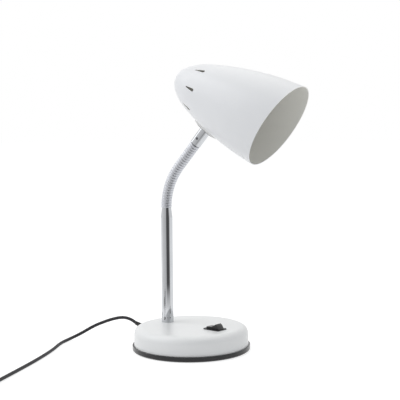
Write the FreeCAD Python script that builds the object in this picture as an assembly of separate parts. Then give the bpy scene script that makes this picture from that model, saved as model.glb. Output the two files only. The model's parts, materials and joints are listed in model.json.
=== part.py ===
import FreeCAD, Part
import math
import os

from FreeCAD import Placement, Rotation, Vector

os.makedirs("parts", exist_ok=True)

# Gooseneck desk lamp. Millimetres, +Z up, origin on the table under the centre of the round base.
# +X runs from the stem towards the switch. The arm frame stands on the stem's axis, and its
# x-z plane is the plane in which the neck bends; it is turned a little from the base's +X.

# Clearances, and how far a cutting tool runs past the face that it opens
slip = 0.05
free_gap = 0.3
past = 1.0

# Switch housing and its blades, which set the height of the cover
switch_x = 33.5
switch_length = 19.2
switch_width = 12.8
switch_depth = 13.0
blade_width = 4.8
blade_thickness = 0.8
blade_drop = 8.0
blade_gap = 1.3
blade_count = 2
blade_pitch = 12.8

# Base
cover_radius = 63.1
cover_shoulder = 8.2
cover_wall = 0.8
tray_rim = 1.9
tray_radius = cover_radius + tray_rim
tray_top = 5.8
tray_floor = 2.6
tray_chamfer = 1.1
pad_margin = 15.0
pad_radius = tray_radius - pad_margin
pad_thickness = 1.0
pad_proud = 0.4
floor_top = pad_proud + tray_floor
cover_height = floor_top + blade_gap + blade_drop + switch_depth + cover_wall
cover_inside = cover_height - cover_wall
switch_bottom = cover_inside - switch_depth
screw_radius = 1.5
screw_head_radius = 2.8
screw_head = 1.0
screw_length = 7.0
lug_count = 3
lug_width = 9.0
lug_depth = 8.4
lug_height = 8.0
lug_outside = cover_radius - cover_wall
weight_gap = 1.9
weight_radius = lug_outside - lug_depth - weight_gap
weight_height = 8.6
weight_top = floor_top + weight_height
weight_screw_inset = 10.0
weight_screw_angle = 60.0
pocket_reach = 12.0
pocket_gap = 2.0
screw_seat = pad_thickness + screw_head

# Stem
stem_x = -34.5
stem_radius = 6.65
stem_wall = 0.9
stem_top = 155.4
stem_taper = 11.0
stem_flare = 0.35
stem_foot = 6.0
bush_length = 14.0
thread_radius = 4.95
thread_end = 2.0
nipple_bore = 3.4
washer_radius = 9.0
washer_thickness = 1.2
locknut_across = 14.0
locknut_height = 4.0

# Bezel and rocker
bezel_end_lip = 0.9
bezel_side_lip = 1.1
bezel_thickness = 1.2
bezel_corner = 1.2
housing_end_wall = 0.7
housing_side_wall = 1.6
rocker_radius = switch_length / 2 - housing_end_wall - free_gap
rocker_width = switch_width - 2 * (housing_side_wall + free_gap)
rocker_pivot_drop = 2.1
rocker_tilt_angle = 16.0
rocker_corner_angle = 42.0
rocker_root_angle = -20.0
rocker_valley = 4.2
trunnion_radius = 1.2
trunnion_seat = 0.2
pivot_z = cover_height + bezel_thickness - rocker_pivot_drop

# Neck
neck_turn_angle = 12.0
neck_radius = 71.8
neck_bend_angle = 40.0
neck_length = 81.5
link_count = 9
ribs_per_link = 3
rib_radius = 5.8
groove_depth = 0.6
groove_radius = rib_radius - groove_depth
neck_bore = 3.1
ball_radius = 7.5
rib_crest_share = 0.5

# Ferrule between the neck and the shade
ferrule_radius = 6.3
ferrule_length = 20.3
ferrule_bore = 3.4
ferrule_thread_depth = 12.0
ferrule_lip = 1.0
grub_screw_radius = 1.5
grub_screw_height = 8.6
plate_length = 26.0
plate_width = 13.0
plate_thickness = 1.0
saddle_length = 32.6
saddle_width = 15.0
saddle_thickness = 1.2
saddle_horn = 6.0

# Shade, measured along its axis from the nose
shade_dip_angle = 24.6
shade_nose_radius = 19.3
shade_nose_angle = 40.1
shade_side_radius = 76.6
shade_side_angle = 19.9
shade_wall_radius = 339.4
shade_wall_angle = 2.3
shade_wall = 0.8
shade_mouth_angle = 9.5
neck_station = 55.5
vent_count = 8
vent_start = 26.5
vent_length = 12.5
vent_tip_radius = 0.5
vent_end_radius = 1.7

# Lampholder, on the shade's axis
bracket_width = 12.0
bracket_thickness = 1.2
bracket_station = 40.0
bracket_reach = 9.0
bracket_foot_height = 1.5
foot_front = 7.5
foot_overlap = 5.0
foot_length = foot_front + neck_station - bracket_station + foot_overlap
head_nut_across = 14.0
head_nut_height = 3.0
holder_radius = 13.5
holder_length = 35.0
holder_step = 1.7
holder_flange_radius = holder_radius + holder_step
holder_flange = 3.0
holder_flange_drop = 12.0
holder_entry = 4.0
holder_stud = 5.0
ring_height = 8.0
socket_radius = 7.1
socket_depth = 22.0
socket_shell = 0.4
socket_floor = 18.0
socket_lip = 1.0
contact_width = 4.0
contact_length = 6.0
contact_thickness = 0.5
holder_back = bracket_station
holder_front = holder_back + holder_length
stud_low = holder_back - bracket_thickness - holder_stud
flange_top = holder_front - holder_flange_drop
flange_low = flange_top - holder_flange
socket_bottom = holder_front - socket_depth

# Mains lead
cord_radius = 1.8
run_share = 0.45
cord_exit_z = 14.5
boot_length = 2.9
boot_radius = 3.6
boot_flange_radius = 4.6
boot_flange = 1.2
boot_tip_wall = 0.5
boot_inside = 4.0
clamp_x = -47.0
clamp_length = 8.0
clamp_width = 18.0
clamp_above = 2.0
clamp_screw_radius = 1.25
clamp_screw_pitch = 12.0
clamp_screw_grip = 4.0
clamp_screw_head_radius = 2.4
clamp_screw_head = 1.6
terminal_x = -14.0
terminal_length = 17.0
terminal_block_width = 16.0
terminal_block_height = 10.5
terminal_bore = 1.9
terminal_screw_radius = 1.8
terminal_sunk = 1.0
terminal_row_share = 0.2
lead_radius = 0.9
lead_height = 3.0
lead_pitch = 8.0
lead_start = 8.0
lead_dip = 5.0
lead_end = 6.0
lead_z = weight_top + lead_height
coil_turns_per_layer = 2.5
coil_layers = 4
coil_pitch = 4.2
coil_outer_radius = 26.5
coil_tail = 46.0
coil_tail_flat = 14.0
coil_tail_foot_share = 0.55
tie_width = 5.0
tie_thickness = 0.5
tie_angle = 108.0
plug_length = 36.0
plug_width = 26.0
plug_height = 13.7
plug_tail_width = 9.0
plug_tail_length = 10.0
plug_shoulder = 20.0
plug_edge = 2.2
plug_back_height = plug_height / 2
pin_radius = 2.0
pin_length = 19.0
pin_pitch = 18.6


def save(name, shape):
    """Writes one sub-part, after a check that its solids are sound."""
    solids = shape.Solids
    if not solids or not shape.isValid():
        raise ValueError("unsound sub-part " + name)
    result = solids[0] if len(solids) == 1 else Part.makeCompound(solids)
    result.exportStep("parts/" + name + ".step")
    print(name, len(solids), round(sum(s.Volume for s in solids), 1))


def arc(start, middle, end):
    return Part.Arc(start, middle, end).toShape()


def line(start, end):
    return Part.LineSegment(start, end).toShape()


def closed_wire(points):
    return Part.makePolygon(list(points) + [points[0]])


def revolved(points):
    """Solid of revolution about Z from the corners (radius, height) of its half section."""
    face = Part.Face(closed_wire([Vector(r, 0, z) for r, z in points]))
    return face.revolve(Vector(0, 0, 0), Vector(0, 0, 1), 360)


def rod(radius, bottom, top, x=0.0, y=0.0):
    return Part.makeCylinder(radius, top - bottom, Vector(x, y, bottom))


def pipe(outer, inner, bottom, top, x=0.0, y=0.0):
    return rod(outer, bottom, top, x, y).cut(rod(inner, bottom - past, top + past, x, y))


def block(low, high):
    size = [h - l for l, h in zip(low, high)]
    return Part.makeBox(size[0], size[1], size[2], Vector(*low))


def hexagon(across, bottom, top):
    corner = across / math.sqrt(3)
    angles = [math.radians(60 * k) for k in range(6)]
    points = [Vector(corner * math.cos(a), corner * math.sin(a), bottom) for a in angles]
    return Part.Face(closed_wire(points)).extrude(Vector(0, 0, top - bottom))


def lying(shape):
    """Turns a piece built about Z so that its axis runs along -X."""
    return shape.transformed(Placement(Vector(0, 0, 0), Rotation(Vector(0, 1, 0), -90)).toMatrix())


def moved(shape, placement):
    return shape.transformed(placement.toMatrix())


# Arm frame and the places along the neck

arm = Placement(Vector(stem_x, 0, 0), Rotation(Vector(0, 0, 1), neck_turn_angle))
link_pitch = neck_length / link_count
seam_rise = math.sqrt(ball_radius ** 2 - groove_radius ** 2)


def direction(angle):
    return Vector(math.sin(math.radians(angle)), 0, math.cos(math.radians(angle)))


def link_angle(index):
    """Lean of a neck link from the vertical: an arc that runs out into a straight stretch."""
    middle = max(0.0, (index + 0.5) * link_pitch - seam_rise)
    return min(math.degrees(middle / neck_radius), neck_bend_angle)


hinges = [Vector(0, 0, stem_top - seam_rise)]
for number in range(link_count):
    hinges.append(hinges[-1] + direction(link_angle(number)) * link_pitch)
neck_axis = direction(neck_bend_angle)
ferrule_foot = hinges[-1] + neck_axis * seam_rise
wall_point = ferrule_foot + neck_axis * (ferrule_length + plate_thickness + saddle_thickness)


def along_neck(point, angle):
    """Placement in the row frame of a piece built about Z, set at a point of the arm frame."""
    return arm.multiply(Placement(point, Rotation(Vector(0, 1, 0), angle)))


# Shade profile in its own frame: Z along the axis from the nose, X towards the neck


def shade_corners(offset):
    """Ends of the profile's three arcs, each arc shrunk by the offset, as (radius, station)."""
    arcs = [
        (shade_nose_radius - offset, 90.0, shade_nose_angle),
        (shade_side_radius - offset, shade_nose_angle, shade_side_angle),
        (shade_wall_radius - offset, shade_side_angle, shade_wall_angle),
    ]
    corners = [(0.0, offset)]
    middles = []
    for radius, first, last in arcs:
        r, s = corners[-1]
        a = math.radians(first)

        def at(angle):
            return (
                r + radius * (math.cos(angle) - math.cos(a)),
                s + radius * (math.sin(a) - math.sin(angle)),
            )

        middles.append(at(math.radians((first + last) / 2)))
        corners.append(at(math.radians(last)))
    return corners, middles


def shade_radius(station):
    """Outer radius of the shade at a station in the long wall arc."""
    r, s = shade_corners(0.0)[0][2]
    start = math.radians(shade_side_angle)
    slope = math.asin(math.sin(start) - (station - s) / shade_wall_radius)
    return r + shade_wall_radius * (math.cos(slope) - math.cos(start))


shade_length = shade_corners(0.0)[0][3][1]
mouth_radius = shade_corners(0.0)[0][3][0]
neck_wall_radius = shade_radius(neck_station)
shade_turn = 90 + shade_dip_angle
shade_axis = direction(shade_turn)
shade_down = direction(shade_turn + 90)
nose = wall_point - shade_axis * neck_station - shade_down * neck_wall_radius
shade_place = arm.multiply(Placement(nose, Rotation(Vector(0, 1, 0), shade_turn)))
head_place = along_neck(wall_point, neck_bend_angle)


def shade_section(offset, end):
    """Closed face between the axis and the profile, out to a flat end past the mouth."""
    corners, middles = shade_corners(offset)
    points = [Vector(r, 0, s) for r, s in corners]
    edges = [
        arc(points[k], Vector(middles[k][0], 0, middles[k][1]), points[k + 1]) for k in range(3)
    ]
    flare = math.tan(math.radians(shade_wall_angle)) * (end - points[3].z)
    rim = Vector(points[3].x + flare, 0, end)
    centre = Vector(0, 0, end)
    edges += [line(points[3], rim), line(rim, centre), line(centre, points[0])]
    return Part.Face(Part.Wire(edges)).revolve(Vector(0, 0, 0), Vector(0, 0, 1), 360)


def mouth_knife():
    """Block that takes away everything past the slanted mouth."""
    reach = 4 * mouth_radius
    knife = block((-reach, -reach, 0), (reach, reach, reach))
    return moved(
        knife,
        Placement(Vector(0, 0, shade_length), Rotation(Vector(0, 1, 0), shade_mouth_angle)),
    )


def vent(angle):
    """Teardrop slot through the dome, its narrow end towards the nose."""
    first = vent_start + vent_tip_radius
    last = vent_start + vent_length - vent_end_radius
    lean = math.asin((vent_end_radius - vent_tip_radius) / (last - first))
    side = Vector(0, math.cos(lean), -math.sin(lean))
    mirror = Vector(0, -side.y, side.z)
    tip = Vector(0, 0, first)
    end = Vector(0, 0, last)
    corners = [
        tip + side * vent_tip_radius,
        tip - Vector(0, 0, vent_tip_radius),
        tip + mirror * vent_tip_radius,
        end + mirror * vent_end_radius,
        end + Vector(0, 0, vent_end_radius),
        end + side * vent_end_radius,
    ]
    wire = Part.Wire([
        arc(corners[0], corners[1], corners[2]),
        line(corners[2], corners[3]),
        arc(corners[3], corners[4], corners[5]),
        line(corners[5], corners[0]),
    ])
    slot = Part.Face(wire).extrude(Vector(shade_side_radius, 0, 0))
    slot.rotate(Vector(0, 0, 0), Vector(0, 0, 1), angle)
    return slot


def neck_frame_to_shade():
    """Placement of the neck's own frame at the wall, as seen from the shade's frame."""
    return shade_place.inverse().multiply(head_place)


def make_shade():
    slant = 3 * math.tan(math.radians(shade_mouth_angle)) * mouth_radius
    past_mouth = shade_length + slant
    shell = shade_section(0.0, past_mouth).cut(shade_section(shade_wall, past_mouth + past))
    shell = shell.cut(mouth_knife())
    for index in range(1, vent_count):
        shell = shell.cut(vent(index * 360 / vent_count))
    hole = moved(rod(thread_radius + free_gap, -saddle_horn, saddle_horn), neck_frame_to_shade())
    save("shade", moved(shell.cut(hole), shade_place))


# Base


def ring_places(count, circle, first=0.0):
    angles = [math.radians(first + 360 * k / count) for k in range(count)]
    return [(circle * math.cos(a), circle * math.sin(a)) for a in angles]


lug_screw_places = ring_places(lug_count, lug_outside - lug_depth / 2)
weight_screw_places = ring_places(lug_count, weight_radius - weight_screw_inset, weight_screw_angle)
clamp_screw_places = [(clamp_x, side * clamp_screw_pitch / 2) for side in (-1, 1)]


def make_tray():
    cover_edge = cover_radius + slip
    profile = [
        (0, pad_proud),
        (tray_radius - tray_chamfer, pad_proud),
        (tray_radius, pad_proud + tray_chamfer),
        (tray_radius, tray_top),
        (cover_edge, tray_top),
        (cover_edge, floor_top),
        (0, floor_top),
    ]
    tray = revolved(profile)
    tray = tray.cut(rod(pad_radius + slip, pad_proud - past, pad_thickness))
    for x, y in lug_screw_places + weight_screw_places:
        tray = tray.cut(rod(screw_radius + slip, -past, floor_top + past, x, y))
        tray = tray.cut(rod(screw_head_radius + slip, -past, screw_seat, x, y))
    save("base_tray", tray)
    save("base_pad", rod(pad_radius, 0, pad_thickness))


def make_weight():
    weight = rod(weight_radius, floor_top, weight_top)
    side = switch_width / 2 + pocket_gap
    weight = weight.cut(block(
        (switch_x - switch_length / 2 - pocket_reach, -side, floor_top - past),
        (switch_x + switch_length / 2 + pocket_gap, side, weight_top + past),
    ))
    for x, y in weight_screw_places:
        weight = weight.cut(rod(screw_radius, floor_top - past, screw_seat + screw_length, x, y))
    for x, y in clamp_screw_places:
        hole = rod(clamp_screw_radius, weight_top - clamp_screw_grip, weight_top + past, x, y)
        weight = weight.cut(hole)
    save("base_weight", weight)


def screw(x, y):
    """Screw up through the tray's floor, its head sunk behind the pad."""
    head = rod(screw_head_radius, pad_thickness, screw_seat, x, y)
    shank = rod(screw_radius, screw_seat, screw_seat + screw_length, x, y)
    return head.fuse(shank).removeSplitter()


def make_screws_and_lugs():
    save("tray_screws", Part.makeCompound([screw(x, y) for x, y in lug_screw_places]))
    save("weight_screws", Part.makeCompound([screw(x, y) for x, y in weight_screw_places]))
    lugs = []
    for k in range(lug_count):
        lug = block((lug_outside - lug_depth, -lug_width / 2, floor_top),
                    (lug_outside + past, lug_width / 2, floor_top + lug_height))
        lug = lug.common(rod(lug_outside, 0, cover_height))
        x = lug_outside - lug_depth / 2
        lug = lug.cut(rod(screw_radius, 0, screw_seat + screw_length, x, 0))
        lug.rotate(Vector(0, 0, 0), Vector(0, 0, 1), 360 * k / lug_count)
        lugs.append(lug)
    save("cover_lugs", Part.makeCompound(lugs))


def cup(radius, top, shoulder, bottom):
    """Solid cup with a rounded shoulder, used for the cover's outside and inside."""
    corner = radius - shoulder
    diagonal = shoulder * math.sqrt(0.5)
    low = top - shoulder
    edges = [
        line(Vector(0, 0, bottom), Vector(radius, 0, bottom)),
        line(Vector(radius, 0, bottom), Vector(radius, 0, low)),
        arc(Vector(radius, 0, low), Vector(corner + diagonal, 0, low + diagonal), Vector(corner, 0, top)),
        line(Vector(corner, 0, top), Vector(0, 0, top)),
        line(Vector(0, 0, top), Vector(0, 0, bottom)),
    ]
    return Part.Face(Part.Wire(edges)).revolve(Vector(0, 0, 0), Vector(0, 0, 1), 360)


def make_cover():
    outside = cup(cover_radius, cover_height, cover_shoulder, floor_top)
    inside = cup(lug_outside, cover_inside, cover_shoulder - cover_wall, floor_top - past)
    cover = outside.cut(inside)
    cover = cover.cut(rod(thread_radius + free_gap, cover_inside - past, cover_height + past, stem_x))
    cover = cover.cut(block(
        (switch_x - switch_length / 2 - slip, -switch_width / 2 - slip, cover_inside - past),
        (switch_x + switch_length / 2 + slip, switch_width / 2 + slip, cover_height + past),
    ))
    hole = on_lead(rod(boot_radius + slip, lug_outside - boot_inside, cover_radius + past))
    save("base_cover", cover.cut(hole))


# Stem and what clamps it to the base


def make_stem():
    tip = groove_radius + slip
    inner = stem_radius - stem_wall
    foot = cover_height
    ball_centre = stem_top - seam_rise
    profile = [
        (0, foot),
        (stem_radius + stem_flare, foot),
        (stem_radius, foot + stem_foot),
        (stem_radius, stem_top - stem_taper),
        (tip, stem_top),
        (tip, stem_top + ball_radius),
        (0, stem_top + ball_radius),
    ]
    outside = revolved(profile)
    dome = Part.makeSphere(ball_radius, Vector(0, 0, ball_centre))
    keep = dome.fuse(rod(2 * stem_radius, foot - past, ball_centre))
    shaft = outside.common(keep)
    shaft = shaft.cut(rod(inner, foot - past, stem_top - stem_taper))
    shaft = shaft.cut(rod(neck_bore, foot - past, stem_top + ball_radius))
    save("stem_tube", moved(shaft, arm))
    bush = pipe(inner, thread_radius + slip, foot, foot + bush_length)
    save("stem_bush", moved(bush, arm))


def make_clamp_stack():
    nut_top = cover_inside - washer_thickness
    nut_bottom = nut_top - locknut_height
    nipple_top = cover_height + bush_length - thread_end
    nipple = pipe(thread_radius, nipple_bore, nut_bottom - thread_end, nipple_top)
    save("base_nipple", moved(nipple, arm))
    washer = pipe(washer_radius, thread_radius + slip, nut_top, cover_inside)
    save("base_washer", moved(washer, arm))
    nut = hexagon(locknut_across, nut_bottom, nut_top).cut(rod(thread_radius + slip, 0, cover_height))
    save("base_locknut", moved(nut, arm))


# Switch: a snap-in rocker, its raised end away from the stem


def make_switch_housing():
    half_length = switch_length / 2 + bezel_end_lip
    half_width = switch_width / 2 + bezel_side_lip
    bezel = block(
        (switch_x - half_length, -half_width, cover_height),
        (switch_x + half_length, half_width, cover_height + bezel_thickness),
    )
    corners = [e for e in bezel.Edges if abs(e.tangentAt(e.FirstParameter).z) > 0.9]
    bezel = bezel.makeFillet(bezel_corner, corners)
    body = block(
        (switch_x - switch_length / 2, -switch_width / 2, switch_bottom),
        (switch_x + switch_length / 2, switch_width / 2, cover_height),
    )
    housing = bezel.fuse(body)
    sweep = rocker_radius + free_gap
    side = rocker_width / 2 + free_gap
    well = across_rod(sweep, side)
    above = block(
        (switch_x - sweep, -side, pivot_z),
        (switch_x + sweep, side, cover_height + bezel_thickness + past),
    )
    ears = across_rod(trunnion_radius + slip, side + trunnion_seat + slip)
    save("switch_housing", housing.cut(well.fuse(above).fuse(ears)).removeSplitter())


def across_rod(radius, half_width):
    """Cylinder on the rocker's pivot, across the switch."""
    return Part.makeCylinder(
        radius, 2 * half_width, Vector(switch_x, -half_width, pivot_z), Vector(0, 1, 0)
    )


blade_places = [
    switch_x + (k - (blade_count - 1) / 2) * blade_pitch for k in range(blade_count)
]


def make_terminals():
    blades = [
        block(
            (x - blade_thickness / 2, -blade_width / 2, switch_bottom - blade_drop),
            (x + blade_thickness / 2, blade_width / 2, switch_bottom),
        )
        for x in blade_places
    ]
    save("switch_terminals", Part.makeCompound(blades))


def make_rocker():
    """Rocker seen from the side: round ends about the pivot, and two flats that meet in a valley."""
    corner = math.radians(rocker_corner_angle)
    foot = math.radians(rocker_root_angle)

    def rim(angle, side):
        return Vector(side * rocker_radius * math.cos(angle), 0, rocker_radius * math.sin(angle))

    valley = Vector(0, 0, rocker_valley)
    edges = [
        line(rim(corner, -1), valley),
        line(valley, rim(corner, 1)),
        arc(rim(corner, 1), rim((corner + foot) / 2, 1), rim(foot, 1)),
        line(rim(foot, 1), rim(foot, -1)),
        arc(rim(foot, -1), rim((corner + foot) / 2, -1), rim(corner, -1)),
    ]
    face = Part.Face(Part.Wire(edges))
    rocker = face.extrude(Vector(0, rocker_width, 0))
    rocker.translate(Vector(0, -rocker_width / 2, 0))
    rocker.rotate(Vector(0, 0, 0), Vector(0, 1, 0), -rocker_tilt_angle)
    rocker.translate(Vector(switch_x, 0, pivot_z))
    trunnions = across_rod(trunnion_radius, rocker_width / 2 + free_gap + trunnion_seat)
    save("switch_rocker", rocker.fuse(trunnions).removeSplitter())


# Neck: ribbed hose in short links, each on a ball about the hinge below it


def make_link(index):
    low = ball_radius + free_gap
    rib = link_pitch / ribs_per_link
    start = math.sqrt(low ** 2 - groove_radius ** 2) - seam_rise
    flank = rib * (1 - rib_crest_share) / 2
    under = seam_rise - past
    profile = [(0, under), (groove_radius, under), (groove_radius, seam_rise + start)]
    for k in range(ribs_per_link):
        foot = seam_rise + k * rib
        profile += [
            (rib_radius, foot + flank),
            (rib_radius, foot + rib - flank),
            (groove_radius, foot + rib),
        ]
    top = seam_rise + link_pitch
    profile += [(groove_radius, top + ball_radius), (0, top + ball_radius)]
    body = revolved(profile)
    upper = Part.makeSphere(ball_radius, Vector(0, 0, link_pitch))
    keep = upper.fuse(rod(2 * rib_radius, 0, link_pitch))
    body = body.common(keep).cut(Part.makeSphere(low, Vector(0, 0, 0)))
    body = body.cut(rod(neck_bore, -past, top + ball_radius))
    save("neck_link_%d" % (index + 1), moved(body, along_neck(hinges[index], link_angle(index))))


# Head: ferrule, plate and saddle against the shade, and the lampholder inside


def make_ferrule():
    foot = seam_rise
    top = seam_rise + ferrule_length
    socket = ball_radius + free_gap
    body = rod(ferrule_radius, foot - past, top).cut(Part.makeSphere(socket, Vector(0, 0, 0)))
    skirt = revolved([
        (0, 0),
        (groove_radius, foot - past),
        (groove_radius, foot),
        (ferrule_radius, foot + ferrule_lip),
        (ferrule_radius, top),
        (0, top),
    ])
    body = body.common(skirt)
    body = body.cut(rod(ferrule_bore, -past, top + past))
    body = body.cut(rod(thread_radius + slip, top - ferrule_thread_depth, top + past))
    hole = Part.makeCylinder(
        grub_screw_radius, 2 * ferrule_radius,
        Vector(0, 0, foot + grub_screw_height), Vector(0, -1, 0),
    )
    body = body.cut(hole)
    place = along_neck(hinges[-1], neck_bend_angle)
    save("neck_ferrule", moved(body, place))
    sunk = 4 * slip
    grub = Part.makeCylinder(
        grub_screw_radius - slip, ferrule_radius - thread_radius - slip - sunk,
        Vector(0, -thread_radius - slip, foot + grub_screw_height), Vector(0, -1, 0),
    )
    save("ferrule_screw", moved(grub, place))


def rounded_slab(length, width, bottom, top):
    """Flat slab with half-round ends, its long side along X."""
    half = width / 2
    reach = length / 2 - half
    slab = block((-reach, -half, bottom), (reach, half, top))
    return slab.fuse(rod(half, bottom, top, reach)).fuse(rod(half, bottom, top, -reach)).removeSplitter()


def make_head_plates():
    hole = rod(thread_radius + slip, -saddle_length, saddle_length)
    bottom = -saddle_thickness - plate_thickness
    plate = rounded_slab(plate_length, plate_width, bottom, -saddle_thickness).cut(hole)
    save("clamp_plate", moved(plate, head_place))
    saddle = rounded_slab(saddle_length, saddle_width, -saddle_thickness, saddle_horn).cut(hole)
    outside = shade_section(-slip, shade_length)
    outside.transformShape(neck_frame_to_shade().inverse().toMatrix())
    save("saddle_pad", moved(saddle.cut(outside), head_place))


def make_head_stack():
    """Nipple through plate, saddle, wall and bracket foot, and its nut, in the neck's frame."""
    foot_top = bracket_foot_height + bracket_thickness
    nut_top = foot_top + head_nut_height
    low = thread_end / 2 - saddle_thickness - plate_thickness - ferrule_thread_depth
    nipple = pipe(thread_radius, nipple_bore, low, nut_top + thread_end / 2)
    save("head_nipple", moved(nipple, head_place))
    nut = hexagon(head_nut_across, foot_top, nut_top).cut(rod(thread_radius + slip, 0, nut_top + past))
    save("head_nut", moved(nut, head_place))


def make_bracket():
    """Steel strip: a foot clamped to the wall by the nipple, and a leg across the shade's axis."""
    half = bracket_width / 2
    foot = block(
        (foot_front - foot_length, -half, bracket_foot_height),
        (foot_front, half, bracket_foot_height + bracket_thickness),
    )
    foot.transformShape(neck_frame_to_shade().toMatrix())
    leg = block(
        (-bracket_reach, -half, bracket_station - bracket_thickness),
        (neck_wall_radius, half, bracket_station),
    )
    trim = shade_section(shade_wall + free_gap, shade_length)
    far = shade_length
    below = block((-far, -far, bracket_foot_height), (far, far, 2 * far))
    below.transformShape(neck_frame_to_shade().toMatrix())
    strip = leg.common(trim).common(below).fuse(foot.common(trim))
    strip = strip.cut(block((-far, -far, -far), (far, far, bracket_station - bracket_thickness)))
    hole = moved(rod(thread_radius + slip, -foot_length, foot_length), neck_frame_to_shade())
    stud = rod(thread_radius + slip, stud_low, bracket_station + past)
    save("holder_bracket", moved(strip.cut(hole).cut(stud).removeSplitter(), shade_place))


def make_lampholder():
    body = rod(holder_radius, holder_back, holder_front)
    body = body.fuse(rod(holder_flange_radius, flange_low, flange_top))
    body = body.fuse(rod(thread_radius, stud_low, holder_back + past))
    body = body.cut(rod(socket_radius + socket_shell, socket_bottom, holder_front + past))
    body = body.cut(rod(nipple_bore, stud_low - past, holder_back + holder_entry))
    save("lampholder_body", moved(body, shade_place))
    shell_low = holder_front - socket_floor
    shell = pipe(socket_radius + socket_shell, socket_radius, shell_low, holder_front - socket_lip)
    save("screw_shell", moved(shell, shade_place))
    tongue = block(
        (-contact_length / 2, -contact_width / 2, socket_bottom),
        (contact_length / 2, contact_width / 2, socket_bottom + contact_thickness),
    )
    save("centre_contact", moved(tongue, shade_place))
    nut_top = holder_back - bracket_thickness
    nut = hexagon(head_nut_across, nut_top - head_nut_height, nut_top)
    nut = nut.cut(rod(thread_radius + slip, 0, holder_back))
    save("holder_nut", moved(nut, shade_place))
    ring = pipe(holder_flange_radius, holder_radius + slip, flange_top, flange_top + ring_height)
    save("lampholder_ring", moved(ring, shade_place))


# Mains lead inside the base, and what grips it


def on_lead(shape):
    """Lays a piece built about Z along the lead where it leaves the base."""
    laid = lying(shape)
    laid.translate(Vector(0, 0, cord_exit_z))
    return laid


def make_lead_inside():
    save("cord_inside", on_lead(rod(cord_radius, -terminal_x, cover_radius + boot_length)))
    inside = cover_radius - cover_wall - boot_inside
    outside = cover_radius + boot_flange
    tip = cover_radius + boot_length
    bush = revolved([
        (cord_radius + slip, inside),
        (boot_radius, inside),
        (boot_radius, cover_radius),
        (boot_flange_radius, cover_radius),
        (boot_flange_radius, outside),
        (boot_radius, outside),
        (cord_radius + boot_tip_wall, tip),
        (cord_radius + slip, tip),
    ])
    save("cord_boot", on_lead(bush))


def make_cord_clamp():
    top = cord_exit_z + cord_radius + clamp_above
    clamp = block(
        (clamp_x - clamp_length / 2, -clamp_width / 2, weight_top),
        (clamp_x + clamp_length / 2, clamp_width / 2, top),
    )
    clamp = clamp.cut(on_lead(rod(cord_radius + slip, -clamp_x - clamp_length, -clamp_x + clamp_length)))
    screws = []
    for x, y in clamp_screw_places:
        clamp = clamp.cut(rod(clamp_screw_radius, weight_top - past, top + past, x, y))
        shank = rod(clamp_screw_radius, weight_top - clamp_screw_grip, top, x, y)
        head = rod(clamp_screw_head_radius, top, top + clamp_screw_head, x, y)
        screws.append(shank.fuse(head).removeSplitter())
    save("cord_clamp", clamp)
    save("clamp_screws", Part.makeCompound(screws))


def make_terminal_block():
    """Two-pole block: the lead enters one end, the leads to the switch leave the other."""
    top = weight_top + terminal_block_height
    body = block(
        (terminal_x, -terminal_block_width / 2, weight_top),
        (terminal_x + terminal_length, terminal_block_width / 2, top),
    )
    middle = terminal_x + terminal_length / 2
    row = terminal_length * terminal_row_share
    seat = weight_top + terminal_block_height / 2
    screws = []
    for x in (middle - row, middle + row):
        for y in (-lead_pitch / 2, lead_pitch / 2):
            body = body.cut(rod(terminal_bore, seat, top + past, x, y))
            screws.append(rod(terminal_screw_radius, seat, top - terminal_sunk, x, y))
    save("terminal_block", body)
    save("terminal_screws", Part.makeCompound(screws))


# Mains lead outside: the points of its route, chosen by hand, and the tube along them

cord_route = [
    (-66, 0, 14.5), (-71.5, 0, 14.5), (-76.9, -0.3, 15.9), (-82.4, -1.5, 18.8), (-89, -3.9, 23.1),
    (-97, -7.9, 24.9), (-106, -13.4, 23.1), (-115.5, -20.4, 19.3), (-125, -29.5, 14.2),
    (-133, -41, 6.7), (-137.5, -56, 1.9), (-131, -75, 1.8), (-113, -102, 1.8), (-92, -142, 1.8),
    (-71, -189, 1.8), (-51, -232, 2.5), (-41.9, -250.9, 2.5),
]


def rounded_route(points):
    """Straight runs joined by arcs as large as the runs allow; gives the wire and the radii."""
    points = [Vector(*p) for p in points]
    edges = []
    radii = []
    here = points[0]
    for before, corner, after in zip(points, points[1:], points[2:]):
        first = before - corner
        last = after - corner
        short = min(first.Length, last.Length)
        first.normalize()
        last.normalize()
        half_turn = (math.pi - first.getAngle(last)) / 2
        cut = run_share * short
        radius = cut / math.tan(half_turn)
        start = corner + first * cut
        end = corner + last * cut
        bisector = first + last
        bisector.normalize()
        centre = corner + bisector * math.hypot(cut, radius)
        middle = centre - bisector * radius
        edges.append(line(here, start))
        edges.append(arc(start, middle, end))
        radii.append(radius)
        here = end
    edges.append(line(here, points[-1]))
    return Part.Wire(edges), radii


def swept(wire, start, heading, radius=cord_radius):
    """Round tube along a wire, of the cord's size unless another is given."""
    ring = Part.Wire(Part.Circle(start, heading, radius).toShape())
    return wire.makePipeShell([ring], True, False)


def report_tube(name, tube, wire):
    share = tube.Volume / (math.pi * cord_radius ** 2 * wire.Length)
    print(name, "length", round(wire.Length, 1), "volume share", round(share, 4))


def make_cord_free():
    wire, radii = rounded_route(cord_route)
    start = Vector(*cord_route[0])
    tube = swept(wire, start, Vector(*cord_route[1]) - start)
    print("bend radii", [round(r, 1) for r in radii])
    report_tube("cord_free", tube, wire)
    save("cord_free", tube)


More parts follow.
